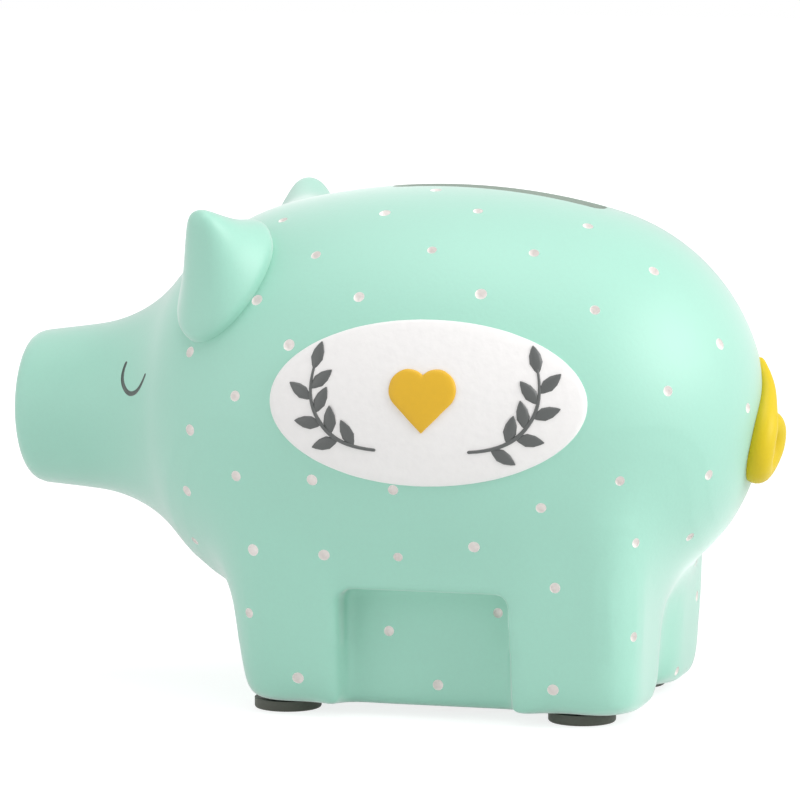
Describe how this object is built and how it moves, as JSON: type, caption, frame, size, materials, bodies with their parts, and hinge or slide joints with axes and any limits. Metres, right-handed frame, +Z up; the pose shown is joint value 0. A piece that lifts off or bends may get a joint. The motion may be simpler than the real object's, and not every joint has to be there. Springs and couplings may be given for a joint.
{
  "type": "pig money box",
  "caption": "Hollow pig-shaped money box with a coin slot along the back, stub legs on foot pads, ears, curled tail, an oval side plaque and a pull-out stopper underneath.",
  "frame": {"origin": "on the ground under the middle of the pig", "axes": "-X towards the snout, +X towards the tail, -Y towards the flank with the plaque, +Z up"},
  "size_m": [0.153, 0.0888, 0.1003],
  "materials": {
    "mint_resin": "satin paint on cast resin",
    "white_resin": "satin paint on cast resin",
    "mustard_resin": "satin paint on cast resin",
    "foot_rubber": "matt",
    "stopper_rubber": "matt"
  },
  "bodies": {
    "pig": {"body_shell": "mint_resin", "ear_left": "mint_resin", "ear_right": "mint_resin", "tail": "mustard_resin", "plaque": "white_resin", "plaque_heart": "mustard_resin", "foot_pad_front_left": "foot_rubber", "foot_pad_front_right": "foot_rubber", "foot_pad_rear_left": "foot_rubber", "foot_pad_rear_right": "foot_rubber"},
    "stopper": {"stopper": "stopper_rubber"}
  },
  "joints": [
    {"name": "stopper_pull", "type": "slide", "parent": "pig", "child": "stopper", "axis": [0, 0, -1], "range_m": [0, 0.03]}
  ]
}
